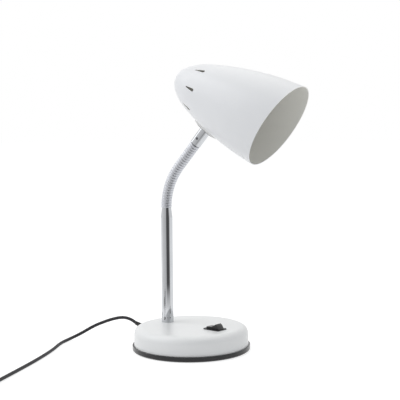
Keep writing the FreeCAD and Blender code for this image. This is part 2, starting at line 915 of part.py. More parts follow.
def make_inner_leads():
    """Two insulated leads from the terminal block, down into the pocket, to the switch's blades."""
    start_x = terminal_x + terminal_length
    low_z = switch_bottom - blade_drop / 2
    near_blade, far_blade = [x - blade_thickness / 2 for x in blade_places]
    side = blade_width / 4
    round_y = blade_width / 2 + 2 * lead_radius
    y = lead_pitch / 2
    dip = switch_x - switch_length / 2 - lead_dip
    bend_x = start_x + lead_start
    routes = [
        [(start_x, -y, lead_z), (bend_x, -y, lead_z), (dip, -side, low_z), (near_blade, -side, low_z)],
        [
            (start_x, y, lead_z),
            (bend_x, y, lead_z),
            (dip, round_y, low_z),
            (near_blade + blade_thickness, round_y, low_z),
            (far_blade - lead_end, side, low_z),
            (far_blade, side, low_z),
        ],
    ]
    leads = [swept(rounded_route(r)[0], Vector(*r[0]), Vector(1, 0, 0), lead_radius) for r in routes]
    save("switch_leads", Part.makeCompound(leads))


# Coil: one unbroken tube that spirals in and out, and climbs where it reverses

coil_start = Vector(*cord_route[-1])
coil_heading = coil_start - Vector(*cord_route[-2])
coil_heading.z = 0
coil_heading.normalize()
coil_inward = Vector(coil_heading.y, -coil_heading.x, 0)
coil_centre = coil_start + coil_inward * coil_outer_radius
coil_start_angle = math.atan2(-coil_inward.y, -coil_inward.x)
coil_layer_angle = 2 * math.pi * coil_turns_per_layer
coil_climb_angle = math.pi
coil_period = coil_layer_angle + coil_climb_angle
coil_total_angle = coil_layers * coil_layer_angle + (coil_layers - 1) * coil_climb_angle


def coil_point(turned):
    """Point of the coil after turning clockwise through an angle."""
    reversal = coil_layer_angle + coil_climb_angle / 2
    wave = turned
    inward = True
    span = reversal
    while wave > span:
        wave -= span
        span = coil_period
        inward = not inward
    inner = coil_outer_radius - coil_pitch * reversal / (2 * math.pi)
    if turned <= reversal:
        radius = coil_outer_radius - coil_pitch * wave / (2 * math.pi)
    elif inward:
        radius = inner + coil_pitch * (coil_period - wave) / (2 * math.pi)
    else:
        radius = inner + coil_pitch * wave / (2 * math.pi)
    layer, within = divmod(turned, coil_period)
    climbed = max(0.0, (within - coil_layer_angle) / coil_climb_angle)
    smooth = climbed * climbed * (3 - 2 * climbed)
    angle = coil_start_angle - turned
    height = coil_start.z + (layer + smooth) * coil_pitch
    return Vector(
        coil_centre.x + radius * math.cos(angle),
        coil_centre.y + radius * math.sin(angle),
        height,
    )


def coil_tangent(turned):
    step = 1e-4
    tangent = coil_point(turned + step) - coil_point(max(turned - step, 0.0))
    tangent.normalize()
    return tangent


def biarc(start, heading, end, end_heading):
    """Two tangent arcs between two points with given headings."""
    gap = end - start
    both = heading + end_heading
    a = 2 * (1 - heading.dot(end_heading))
    b = 2 * gap.dot(both)
    reach = (-b + math.sqrt(b * b + 4 * a * gap.dot(gap))) / (2 * a)
    join = (start + end + (heading - end_heading) * reach) * 0.5
    edges = []
    for first, direct, last in ((start, heading, join), (end, end_heading * -1, join)):
        chord = last - first
        half = direct.getAngle(chord)
        across = chord * 0.5
        inner = direct - chord * (direct.dot(chord) / chord.dot(chord))
        inner.normalize()
        middle = first + across + inner * (chord.Length / 2 * math.tan(half / 2))
        edges.append((first, middle, last))
    first_arc = arc(*edges[0])
    last_arc = arc(edges[1][2], edges[1][1], edges[1][0])
    return [first_arc, last_arc]


def make_coil():
    stations = int(round(coil_total_angle / (math.pi / 2)))
    edges = []
    for k in range(stations):
        low = coil_total_angle * k / stations
        high = coil_total_angle * (k + 1) / stations
        first = coil_heading if k == 0 else coil_tangent(low)
        edges += biarc(coil_point(low), first, coil_point(high), coil_tangent(high))
    wire = Part.Wire(edges)
    tube = swept(wire, coil_start, coil_heading)
    report_tube("cord_coil", tube, wire)
    samples = int(coil_total_angle * 12)
    points = [coil_point(coil_total_angle * k / samples) for k in range(samples + 1)]
    skip = int(samples * math.pi / coil_total_angle)
    gaps = [
        points[a].distanceToPoint(points[b])
        for a in range(samples) for b in range(a + skip, samples)
    ]
    print("coil gap to itself", round(min(gaps) - 2 * cord_radius, 2))
    save("cord_coil", tube)


def make_tie():
    """Flat strip round the bundle of turns, joined by a twist on the outside."""
    angle = math.degrees(coil_start_angle) + tie_angle
    width = coil_pitch * (coil_turns_per_layer + 1)
    middle = coil_outer_radius - width / 2 + coil_pitch / 2
    half = width / 2 + cord_radius
    low = coil_start.z - cord_radius - tie_thickness - slip
    high = coil_start.z + coil_pitch * (coil_layers - 1) + cord_radius + tie_thickness + slip
    outer = block((middle - half - tie_thickness, -tie_width / 2, low),
                  (middle + half + tie_thickness, tie_width / 2, high))
    inner = block((middle - half, -tie_width, low + tie_thickness),
                  (middle + half, tie_width, high - tie_thickness))
    strip = outer.cut(inner)
    place = Placement(Vector(coil_centre.x, coil_centre.y, 0),
                      Rotation(Vector(0, 0, 1), angle))
    save("cord_tie", moved(strip, place))


# Tail from the coil's top layer down to the plug beside it

tail_start = coil_point(coil_total_angle)
tail_heading = coil_tangent(coil_total_angle)


def tail_points():
    """Route of the tail: level off the coil, down beside it, and level into the plug."""
    drop = tail_start.z - plug_back_height
    run = coil_tail - coil_tail_flat
    return [
        tail_start,
        tail_start + tail_heading * coil_tail_flat,
        tail_start + tail_heading * (coil_tail_flat + run * coil_tail_foot_share) - Vector(0, 0, drop),
        tail_start + tail_heading * coil_tail - Vector(0, 0, drop),
    ]


def make_tail_and_plug():
    points = tail_points()
    wire, radii = rounded_route([tuple(p) for p in points])
    tube = swept(wire, tail_start, tail_heading)
    print("tail bend radii", [round(r, 1) for r in radii])
    report_tube("cord_tail", tube, wire)
    save("cord_tail", tube)
    heading = math.degrees(math.atan2(tail_heading.y, tail_heading.x))
    back = points[-1]
    place = Placement(Vector(back.x, back.y, plug_back_height), Rotation(Vector(0, 0, 1), heading))
    half = plug_width / 2
    tail = plug_tail_width / 2
    right = [(0, -tail), (plug_tail_length, -tail), (plug_shoulder, -half), (plug_length, -half)]
    left = [(x, -y) for x, y in reversed(right)]
    outline = [Vector(x, y, 0) for x, y in right + left]
    body = Part.Face(closed_wire(outline)).extrude(Vector(0, 0, plug_height))
    body.translate(Vector(0, 0, -plug_height / 2))
    edges = [e for e in body.Edges if abs(e.tangentAt(e.FirstParameter).z) < 0.1]
    sides = [e for e in edges if 0.1 < e.CenterOfMass.x < plug_length - 0.1]
    body = body.makeChamfer(plug_edge, sides)
    save("plug_body", moved(body, place))
    pins = [
        Part.makeCylinder(pin_radius, pin_length, Vector(plug_length, y, 0), Vector(1, 0, 0))
        for y in (-pin_pitch / 2, pin_pitch / 2)
    ]
    save("plug_pins", moved(Part.makeCompound(pins), place))


make_tray()
make_weight()
make_screws_and_lugs()
make_cover()
make_stem()
make_clamp_stack()
make_switch_housing()
make_terminals()
make_rocker()
for number in range(link_count):
    make_link(number)
make_ferrule()
make_head_plates()
make_head_stack()
make_bracket()
make_lampholder()
make_shade()
make_lead_inside()
make_cord_clamp()
make_terminal_block()
make_inner_leads()
make_cord_free()
make_coil()
make_tie()
make_tail_and_plug()
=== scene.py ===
"""Looks of a gooseneck desk lamp: its finishes, its ribbed hose, its mains flex, the light and the camera.

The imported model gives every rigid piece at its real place. This script gives each of them a finish, and
builds the pieces that bend: the hose of the neck, the flex, its strain relief and the tie of its coil.
Lengths are in metres unless a name says mm.
"""

import json
import logging
import math
from dataclasses import dataclass
from enum import Enum
from typing import Any, Sequence

import bpy
from mathutils import Matrix, Vector


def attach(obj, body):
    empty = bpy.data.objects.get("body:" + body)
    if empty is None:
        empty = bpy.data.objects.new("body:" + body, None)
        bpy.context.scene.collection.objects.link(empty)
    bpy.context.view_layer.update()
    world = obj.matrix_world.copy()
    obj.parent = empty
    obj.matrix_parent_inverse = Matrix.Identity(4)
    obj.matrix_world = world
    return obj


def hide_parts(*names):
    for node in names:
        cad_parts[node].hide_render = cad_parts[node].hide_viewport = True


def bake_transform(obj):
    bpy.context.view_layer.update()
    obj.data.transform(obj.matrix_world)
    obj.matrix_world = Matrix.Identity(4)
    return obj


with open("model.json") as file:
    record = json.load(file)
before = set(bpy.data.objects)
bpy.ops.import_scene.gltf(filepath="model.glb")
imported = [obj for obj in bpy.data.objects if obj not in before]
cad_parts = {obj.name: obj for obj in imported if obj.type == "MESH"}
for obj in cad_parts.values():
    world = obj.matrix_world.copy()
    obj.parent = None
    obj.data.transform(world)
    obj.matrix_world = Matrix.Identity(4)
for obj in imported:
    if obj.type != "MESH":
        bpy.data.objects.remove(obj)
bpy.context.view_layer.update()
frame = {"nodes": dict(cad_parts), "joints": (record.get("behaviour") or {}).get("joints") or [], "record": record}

MM = 0.001
TINY = 1e-9
GROOVE_DEPTH = "groove_depth"
CARD_GLOW = "card_glow"

log = logging.getLogger("desk_lamp")


def linear(hex_colour: str) -> tuple[float, float, float, float]:
    """Turns an sRGB colour into linear light.

    Args:
        hex_colour: the colour as #rrggbb.

    Returns:
        Red, green, blue and an alpha of 1, each from 0 to 1.
    """
    knee, slope, lift, power = 0.04045, 12.92, 0.055, 2.4
    levels = [int(hex_colour[k:k + 2], 16) / 255 for k in (1, 3, 5)]
    light = [c / slope if c <= knee else ((c + lift) / (1 + lift)) ** power for c in levels]
    return (light[0], light[1], light[2], 1.0)


def add_node(
    tree: bpy.types.NodeTree,
    kind: str,
    settings: dict[str, Any] | None = None,
    links: dict[str | int, bpy.types.NodeSocket] | None = None,
) -> bpy.types.Node:
    """Adds one shader node.

    Args:
        tree: the node tree that takes the node.
        kind: the node's type, without the leading ShaderNode.
        settings: values by name, for its sockets or else for its own properties.
        links: output sockets by the name or number of the input that each one feeds.

    Returns:
        The new node.
    """
    node = tree.nodes.new("ShaderNode" + kind)
    for name, value in (settings or {}).items():
        if isinstance(name, int) or name in node.inputs:
            node.inputs[name].default_value = value
        else:
            setattr(node, name, value)
    for name, source in (links or {}).items():
        tree.links.new(source, node.inputs[name])
    return node


class Pattern(Enum):
    """How the fine relief of a surface is laid out."""

    ORANGE_PEEL = "soft rounded bumps, as sprayed or powder coats have"
    SPARK_GRAIN = "fine sharp pits, as a spark-eroded mould leaves"
    DRAWN = "lines along Z, as drawing and brushing leave"
    CAST = "coarse lumps, as sand leaves"
    CELLS = "closed cells, as foam has"


@dataclass(frozen=True)
class Finish:
    """One real finish.

    Its colour drifts between colour and shade_colour in soft clouds of the size mottle_mm, and its
    roughness swings with them. The pattern's bumps are pattern_mm apart and relief_mm high. A grooved
    piece darkens in its grooves to its groove colour, a painted shade, and a shell may take a further
    colour on the side that faces the shade's axis.
    """

    name: str
    colour: str
    shade_colour: str
    mottle_mm: float
    roughness: float
    roughness_swing: float
    pattern: Pattern
    pattern_mm: float
    relief_mm: float
    metallic: float = 0.0
    ior: float = 1.5
    coat: float = 0.0
    coat_roughness: float = 0.1
    groove_shade_colour: str | None = None
    inside_colour: str | None = None
    mottle_band: tuple[float, float] = (0.3, 0.7)
    drawn_squeeze: float = 0.03

    def coloured_inside(
        self, tree: bpy.types.NodeTree, place: bpy.types.NodeSocket, colour: bpy.types.NodeSocket
    ) -> bpy.types.NodeSocket:
        """Colours the side of a shell that faces the shade's axis.

        Args:
            tree: the material's nodes.
            place: the point on the object, in metres.
            colour: the colour of the other side.

        Returns:
            The socket that carries the colour of both sides.
        """
        socket = shade_mount()
        axis = tuple(socket["axis"])
        from_axis = add_node(
            tree, "VectorMath", {"operation": "SUBTRACT", 1: tuple(socket["pos_m"])}, {0: place}
        ).outputs["Vector"]
        along = add_node(
            tree, "VectorMath", {"operation": "PROJECT", 1: axis}, {0: from_axis}
        ).outputs["Vector"]
        across = add_node(
            tree, "VectorMath", {"operation": "SUBTRACT"}, {0: from_axis, 1: along}
        ).outputs["Vector"]
        normal = add_node(tree, "TexCoord").outputs["Normal"]
        facing = add_node(
            tree, "VectorMath", {"operation": "DOT_PRODUCT"}, {0: across, 1: normal}
        ).outputs["Value"]
        inside = add_node(tree, "Math", {"operation": "LESS_THAN", 1: 0.0}, {0: facing}).outputs[0]
        return add_node(
            tree, "Mix", {"data_type": "RGBA", 7: linear(self.inside_colour)}, {0: inside, 6: colour}
        ).outputs[2]

    def relief(self, tree: bpy.types.NodeTree, place: bpy.types.NodeSocket) -> bpy.types.NodeSocket:
        """Builds the height pattern.

        Args:
            tree: the material's nodes.
            place: the point on the object, in metres.

        Returns:
            The socket that carries the height, from 0 to 1.
        """
        scale = 1 / (self.pattern_mm * MM)
        if self.pattern is Pattern.CELLS:
            return add_node(tree, "TexVoronoi", {"Scale": scale}, {"Vector": place}).outputs["Distance"]
        if self.pattern is Pattern.DRAWN:
            place = add_node(
                tree, "VectorMath", {"operation": "MULTIPLY", 1: (1, 1, self.drawn_squeeze)}, {0: place}
            ).outputs["Vector"]
        detail = {
            Pattern.ORANGE_PEEL: 1.0,
            Pattern.SPARK_GRAIN: 5.0,
            Pattern.DRAWN: 2.0,
            Pattern.CAST: 6.0,
        }[self.pattern]
        return add_node(
            tree, "TexNoise", {"Scale": scale, "Detail": detail}, {"Vector": place}
        ).outputs["Fac"]

    def build(self) -> bpy.types.Material:
        """Makes the material.

        Returns:
            The material, ready for a slot.
        """
        material = bpy.data.materials.new(self.name)
        material.use_nodes = True
        tree = material.node_tree
        tree.nodes.clear()
        place = add_node(tree, "TexCoord").outputs["Object"]
        mottle = add_node(
            tree, "TexNoise", {"Scale": 1 / (self.mottle_mm * MM), "Detail": 3.0}, {"Vector": place}
        ).outputs["Fac"]
        tint = add_node(tree, "ValToRGB", links={"Fac": mottle})
        stops = zip(tint.color_ramp.elements, self.mottle_band, (self.shade_colour, self.colour))
        for stop, position, colour in stops:
            stop.position = position
            stop.color = linear(colour)
        colour = tint.outputs["Color"]
        # The grooves are painted darker: painted shade where the ribs keep light out.
        if self.groove_shade_colour:
            depth = add_node(tree, "Attribute", {"attribute_name": GROOVE_DEPTH}).outputs["Fac"]
            colour = add_node(
                tree,
                "Mix",
                {"data_type": "RGBA", 7: linear(self.groove_shade_colour)},
                {0: depth, 6: colour},
            ).outputs[2]
        if self.inside_colour:
            colour = self.coloured_inside(tree, place, colour)
        rough = add_node(
            tree,
            "MapRange",
            {
                "To Min": self.roughness - self.roughness_swing,
                "To Max": self.roughness + self.roughness_swing,
            },
            {"Value": mottle},
        ).outputs["Result"]
        bump = add_node(
            tree,
            "Bump",
            {"Strength": 1.0, "Distance": self.relief_mm * MM},
            {"Height": self.relief(tree, place)},
        ).outputs["Normal"]
        surface = add_node(
            tree,
            "BsdfPrincipled",
            {
                "Metallic": self.metallic,
                "IOR": self.ior,
                "Coat Weight": self.coat,
                "Coat Roughness": self.coat_roughness,
            },
            {"Base Color": colour, "Roughness": rough, "Normal": bump},
        )
        add_node(tree, "OutputMaterial", links={"Surface": surface.outputs["BSDF"]})
        return material


def shade_mount() -> dict[str, Any]:
    """Gives the lampholder's mount, which lies on the shade's axis."""
    return next(m for m in frame["record"]["mounts"] if m["name"] == "bulb_socket")


# A real spark-eroded grain is about 0.1 mm, and the lines of drawn metal are finer still. Both are drawn
# several times as coarse here, so that they show.

# White polyester powder coat on spun steel: an even, slightly soft white with a faint orange peel.
POWDER_COAT = Finish(
    name="white_powder_coat", colour="#edeeee", shade_colour="#eaebeb", mottle_mm=45,
    roughness=0.33, roughness_swing=0.03, pattern=Pattern.ORANGE_PEEL, pattern_mm=1.6, relief_mm=0.012,
    coat=0.12, coat_roughness=0.3,
)
# The same coat on the shade, whose inside is given a warmer white.
# Its white is a touch darker and cooler than the base's: painted shade for the light that falls on the shade.
SHADE_COAT = Finish(
    name="white_shade_coat", colour="#ebecee", shade_colour="#e8e9eb", mottle_mm=45,
    roughness=0.36, roughness_swing=0.03, pattern=Pattern.ORANGE_PEEL, pattern_mm=1.6, relief_mm=0.012,
    inside_colour="#ebeae4",
)
# Bright chrome on drawn steel tube: a mirror with only the faintest wipe marks in its gloss.
CHROME_PLATE = Finish(
    name="chrome_plated_tube", colour="#c6c8cb", shade_colour="#bfc1c4", mottle_mm=18,
    roughness=0.06, roughness_swing=0.02, pattern=Pattern.DRAWN, pattern_mm=0.9, relief_mm=0.0006,
    metallic=1.0,
)
# Nickel plate on the wound hose: soft bright ribs, with the metal down in the grooves painted darker as painted
# shade.
NICKEL_HOSE = Finish(
    name="nickel_plated_hose", colour="#d0d2d7", shade_colour="#c8cacf", mottle_mm=9,
    roughness=0.5, roughness_swing=0.04, pattern=Pattern.ORANGE_PEEL, pattern_mm=0.7, relief_mm=0.002,
    metallic=1.0, groove_shade_colour="#aeafb5",
)
# Black ABS from a fine-grained mould, on the tray, the switch's housing and the clamp: deep black, with a
# soft gloss that pales at its edges.
GRAINED_ABS = Finish(
    name="moulded_black_abs", colour="#0f0e13", shade_colour="#0c0b10", mottle_mm=22,
    roughness=0.2, roughness_swing=0.04, pattern=Pattern.SPARK_GRAIN, pattern_mm=0.8, relief_mm=0.02,
    ior=1.46,
)
# Black nylon of the rocker: smoother than the ABS, with a clear soft highlight.
ROCKER_NYLON = Finish(
    name="moulded_black_nylon", colour="#1b1b1c", shade_colour="#151516", mottle_mm=12,
    roughness=0.3, roughness_swing=0.04, pattern=Pattern.SPARK_GRAIN, pattern_mm=0.6, relief_mm=0.01,
    ior=1.53,
)
# Soft PVC sheath of the flex: dark grey-black, rubbery, slightly wavy from the extruder.
FLEX_PVC = Finish(
    name="extruded_black_pvc", colour="#1e1d23", shade_colour="#18171d", mottle_mm=30,
    roughness=0.6, roughness_swing=0.06, pattern=Pattern.ORANGE_PEEL, pattern_mm=2.2, relief_mm=0.02,
    ior=1.52,
)
# Harder PVC of the plug, the strain relief and the coil's tie: a little glossier than the sheath.
MOULDED_PVC = Finish(
    name="moulded_black_pvc", colour="#2b2b2e", shade_colour="#242427", mottle_mm=16,
    roughness=0.38, roughness_swing=0.05, pattern=Pattern.SPARK_GRAIN, pattern_mm=0.7, relief_mm=0.015,
    ior=1.52,
)
# White nylon of the saddle and the terminal block: a touch warmer and more matt than the paint.
WHITE_NYLON = Finish(
    name="moulded_white_nylon", colour="#e6e6e4", shade_colour="#e1e1df", mottle_mm=14,
    roughness=0.5, roughness_swing=0.04, pattern=Pattern.SPARK_GRAIN, pattern_mm=0.7, relief_mm=0.01,
    ior=1.53,
)
# Satin nickel on the pressed clamp plate: grey with a broad soft highlight.
SATIN_PLATE = Finish(
    name="satin_nickel_plate", colour="#a9a9ab", shade_colour="#9d9da0", mottle_mm=10,
    roughness=0.34, roughness_swing=0.05, pattern=Pattern.DRAWN, pattern_mm=0.6, relief_mm=0.002,
    metallic=1.0,
)
# Blue-white zinc on turned and pressed steel: pale grey with a cloudy gloss.
ZINC_PLATE = Finish(
    name="zinc_plated_steel", colour="#c3c6c8", shade_colour="#b1b4b6", mottle_mm=6,
    roughness=0.32, roughness_swing=0.08, pattern=Pattern.ORANGE_PEEL, pattern_mm=0.5, relief_mm=0.003,
    metallic=1.0,
)
# Grey phosphate on the small grub screw: a dull dark dot on the bright ferrule.
PHOSPHATED_STEEL = Finish(
    name="phosphated_steel", colour="#747478", shade_colour="#68686b", mottle_mm=4,
    roughness=0.45, roughness_swing=0.05, pattern=Pattern.ORANGE_PEEL, pattern_mm=0.4, relief_mm=0.003,
    metallic=0.8,
)
# Plain brass of contacts and terminals: warm yellow metal with a soft gloss.
BRASS = Finish(
    name="plain_brass", colour="#d8b36a", shade_colour="#c9a258", mottle_mm=5,
    roughness=0.28, roughness_swing=0.06, pattern=Pattern.DRAWN, pattern_mm=0.5, relief_mm=0.002,
    metallic=1.0,
)
# Nickel on the plug's pins: bright, with wear lines along the pins.
NICKEL_PIN = Finish(
    name="nickel_plated_pins", colour="#d2d2d0", shade_colour="#c6c6c4", mottle_mm=7,
    roughness=0.2, roughness_swing=0.05, pattern=Pattern.DRAWN, pattern_mm=0.4, relief_mm=0.002,
    metallic=1.0,
)
# Raw grey cast iron of the weight: dark, coarse and dull.
CAST_IRON = Finish(
    name="raw_cast_iron", colour="#5c5c5d", shade_colour="#4a4a4b", mottle_mm=8,
    roughness=0.7, roughness_swing=0.08, pattern=Pattern.CAST, pattern_mm=1.8, relief_mm=0.12,
    metallic=0.6,
)
# Black EVA foam of the underside pad: matt, with small closed cells.
EVA_FOAM = Finish(
    name="eva_foam_pad", colour="#2a2a2b", shade_colour="#232324", mottle_mm=20,
    roughness=0.85, roughness_swing=0.05, pattern=Pattern.CELLS, pattern_mm=0.8, relief_mm=0.08,
)
# Black phenolic of the lampholder: hard and glossy, with a trace of brown in the thin light.
PHENOLIC = Finish(
    name="pressed_black_phenolic", colour="#211e1c", shade_colour="#191716", mottle_mm=15,
    roughness=0.25, roughness_swing=0.04, pattern=Pattern.SPARK_GRAIN, pattern_mm=1.0, relief_mm=0.006,
    ior=1.6,
)


def mesh_piece(
    name: str, points: Sequence[Vector], faces: Sequence[Sequence[int]], smooth: bool = True
) -> bpy.types.Object:
    """Makes a mesh object from points and faces.

    Args:
        name: the piece's name.
        points: its corners, in metres in the row frame.
        faces: its faces, as numbers of corners.
        smooth: whether its faces are shaded smooth.

    Returns:
        The new object, in the scene.
    """
    mesh = bpy.data.meshes.new(name)
    mesh.from_pydata([tuple(p) for p in points], [], [tuple(f) for f in faces])
    mesh.update()
    mesh.polygons.foreach_set("use_smooth", [smooth] * len(mesh.polygons))
    piece = bpy.data.objects.new(name, mesh)
    bpy.context.scene.collection.objects.link(piece)
    return piece


def dress(piece: bpy.types.Object, material: bpy.types.Material) -> None:
    """Puts one material on a whole piece."""
    piece.data.materials.clear()
    piece.data.materials.append(material)


def cross(a: tuple[float, float], b: tuple[float, float], c: tuple[float, float]) -> float:
    """Says by its sign which way the path a, b, c turns."""
    return (b[0] - a[0]) * (c[1] - a[1]) - (b[1] - a[1]) * (c[0] - a[0])


def round_edges(
    piece: bpy.types.Object, radius: float, steps: int = 3, sharp_deg: float = 12, gap: float = 0.01 * MM
) -> None:
    """Rounds the sharp edges of a moulded piece, as its mould does.

    Args:
        piece: the piece.
        radius: the radius of its edges, in metres.
        steps: how many faces make up an edge.
        sharp_deg: the least angle between two faces that counts as an edge.
        gap: how far apart the corners may lie that two faces share, in metres.
    """
    weld = piece.modifiers.new("joined_corners", "WELD")
    weld.merge_threshold = gap
    bevel = piece.modifiers.new("rounded_edges", "BEVEL")
    bevel.width = radius
    bevel.segments = steps
    bevel.limit_method = "ANGLE"
    bevel.angle_limit = math.radians(sharp_deg)
    bevel.harden_normals = True


class Wardrobe:
    """Makes each finish once and hands out its material."""

    def __init__(self) -> None:
        """Starts with no materials."""
        self.made: dict[str, bpy.types.Material] = {}

    def material(self, finish: Finish) -> bpy.types.Material:
        """Gives the material of a finish, made on first use."""
        if finish.name not in self.made:
            self.made[finish.name] = finish.build()
        return self.made[finish.name]


@dataclass
class RigidPieces:
    """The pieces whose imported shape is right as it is: they get their finish, and two get soft edges."""

    wardrobe: Wardrobe
    plug_edge: float = 0.8 * MM
    rocker_edge: float = 0.3 * MM

    def finishes(self) -> dict[Finish, list[str]]:
        """Says which finish each rigid node has.

        Returns:
            The nodes of each finish.
        """
        return {
            POWDER_COAT: ["base_cover"],
            SHADE_COAT: ["shade"],
            GRAINED_ABS: ["base_tray", "switch_housing", "cord_clamp"],
            ROCKER_NYLON: ["switch_rocker"],
            CHROME_PLATE: ["stem_tube", "neck_ferrule"],
            SATIN_PLATE: ["clamp_plate"],
            WHITE_NYLON: ["saddle_pad", "terminal_block"],
            ZINC_PLATE: [
                "tray_screws", "weight_screws", "cover_lugs", "stem_bush", "base_nipple",
                "base_washer", "base_locknut", "clamp_screws", "head_nipple", "head_nut",
                "holder_bracket", "holder_nut",
            ],
            PHOSPHATED_STEEL: ["ferrule_screw"],
            BRASS: ["switch_terminals", "terminal_screws", "screw_shell", "centre_contact"],
            PHENOLIC: ["lampholder_body", "lampholder_ring"],
            CAST_IRON: ["base_weight"],
            EVA_FOAM: ["base_pad"],
            FLEX_PVC: ["cord_inside", "switch_leads"],
            MOULDED_PVC: ["plug_body"],
            NICKEL_PIN: ["plug_pins"],
        }

    def build(self) -> None:
        """Gives each rigid node its finish, and the plug and the rocker their soft edges."""
        for finish, names in self.finishes().items():
            for name in names:
                dress(frame["nodes"][name], self.wardrobe.material(finish))
            log.info("finish %s on %d nodes", finish.name, len(names))
        round_edges(frame["nodes"]["plug_body"], self.plug_edge)
        round_edges(frame["nodes"]["switch_rocker"], self.rocker_edge)


@dataclass
class NeckHose:
    """The ribbed hose, in one stretch round each of the neck's hinges.

    A stretch starts and ends in a groove, and curves round its hinge between.
    """

    wardrobe: Wardrobe
    ribs_per_link: int = 3
    crest_radius: float = 5.8 * MM
    groove_radius: float = 5.45 * MM
    link_groove_radius: float = 5.2 * MM
    ball_radius: float = 7.5 * MM
    crest_flatness: float = 5.0
    columns: int = 56
    rows_per_rib: int = 12
    heading_reach: float = 0.02

    def __post_init__(self) -> None:
        """Reads the hinges from the frame."""
        self.joints = [j for j in frame["joints"] if j["name"].startswith("neck_")]
        self.hinges = [Vector(j["pos_m"]) for j in self.joints]
        steps = [b - a for a, b in zip(self.hinges, self.hinges[1:])]
        self.link_length = steps[0].length
        self.ends = [Vector((0, 0, 1)) * self.link_length, steps[-1]]

    def centre(self, station: float) -> Vector:
        """Gives the point of the centreline at a station counted in links from the first hinge."""
        points = [self.hinges[0] - self.ends[0], *self.hinges, self.hinges[-1] + self.ends[1]]
        index = max(0, min(int(math.floor(station)), len(self.hinges) - 1))
        share = station - index
        a, b = points[index + 1], points[min(index + 2, len(points) - 1)]
        before = points[index]
        after = points[min(index + 3, len(points) - 1)] if index + 3 < len(points) else b + self.ends[1]
        first, last = (b - before) / 2, (after - a) / 2
        s2, s3 = share * share, share * share * share
        return (
            a * (2 * s3 - 3 * s2 + 1)
            + first * (s3 - 2 * s2 + share)
            + b * (3 * s2 - 2 * s3)
            + last * (s3 - s2)
        )

    def ring_axes(self, station: float) -> tuple[Vector, Vector, Vector]:
        """Gives the heading of the centreline and two square directions that don't twist along it."""
        reach = self.heading_reach
        heading = (self.centre(station + reach) - self.centre(station - reach)).normalized()
        across = Vector(self.joints[0]["axis"])
        front = across.cross(heading).normalized()
        return heading, across, front

    def rib(self, share: float) -> tuple[float, float]:
        """Gives the radius across one rib, and how deep in the groove that is, from 0 to 1."""
        drop = abs(2 * share - 1) ** self.crest_flatness
        return self.crest_radius - (self.crest_radius - self.groove_radius) * drop, drop ** 2

    def span(self, number: int) -> tuple[float, int]:
        """Says where the stretch round one hinge lies.

        The hose starts at the stem's top and ends at the ferrule's foot, a seam's rise above the first
        and the last hinge. A stretch between takes one rib below its seam and the rest above it.

        Args:
            number: the hinge's number, from 0.

        Returns:
            The station where it starts, in links, and how many ribs it has.
        """
        seam_rise = math.sqrt(self.ball_radius ** 2 - self.link_groove_radius ** 2)
        seam = number + seam_rise / self.link_length
        below = 0 if number == 0 else 1
        above = 0 if number == len(self.hinges) - 1 else self.ribs_per_link - 1
        return seam - below / self.ribs_per_link, below + above

    def stretch(self, number: int) -> bpy.types.Object:
        """Builds the stretch round one hinge.

        Args:
            number: the hinge's number, from 0.

        Returns:
            The piece, bent between the hinge's two bodies.
        """
        start, ribs = self.span(number)
        points, faces, depth = [], [], []
        rows = ribs * self.rows_per_rib
        for row in range(rows + 1):
            rib, step = divmod(row, self.rows_per_rib)
            share = (1 - math.cos(math.pi * step / self.rows_per_rib)) / 2
            station = start + (rib + share) / self.ribs_per_link
            middle = self.centre(station)
            heading, across, front = self.ring_axes(station)
            radius, deep = self.rib(share)
            for column in range(self.columns):
                angle = 2 * math.pi * column / self.columns
                points.append(middle + (across * math.cos(angle) + front * math.sin(angle)) * radius)
                depth.append(deep)
        for row in range(rows):
            for column in range(self.columns):
                after = (column + 1) % self.columns
                low, high = row * self.columns, (row + 1) * self.columns
                faces.append((low + column, low + after, high + after, high + column))
        piece = mesh_piece(f"neck_hose_{number + 1}", points, faces)
        # How deep each ring lies in its groove, which sets how much painted shade the groove gets.
        attribute = piece.data.attributes.new(GROOVE_DEPTH, "FLOAT", "POINT")
        attribute.data.foreach_set("value", depth)
        dress(piece, self.wardrobe.material(NICKEL_HOSE))
        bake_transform(piece)
        return piece

    def build(self) -> list[bpy.types.Object]:
        """Builds every stretch, each in the place of one neck link.

        Returns:
            The stretches, from the stem up.
        """
        pieces = [self.stretch(number) for number in range(len(self.hinges))]
        for number, piece in enumerate(pieces[:-1]):
            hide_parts(f"neck_link_{number + 1}")
        log.info("neck hose in %d stretches", len(pieces))
        return pieces


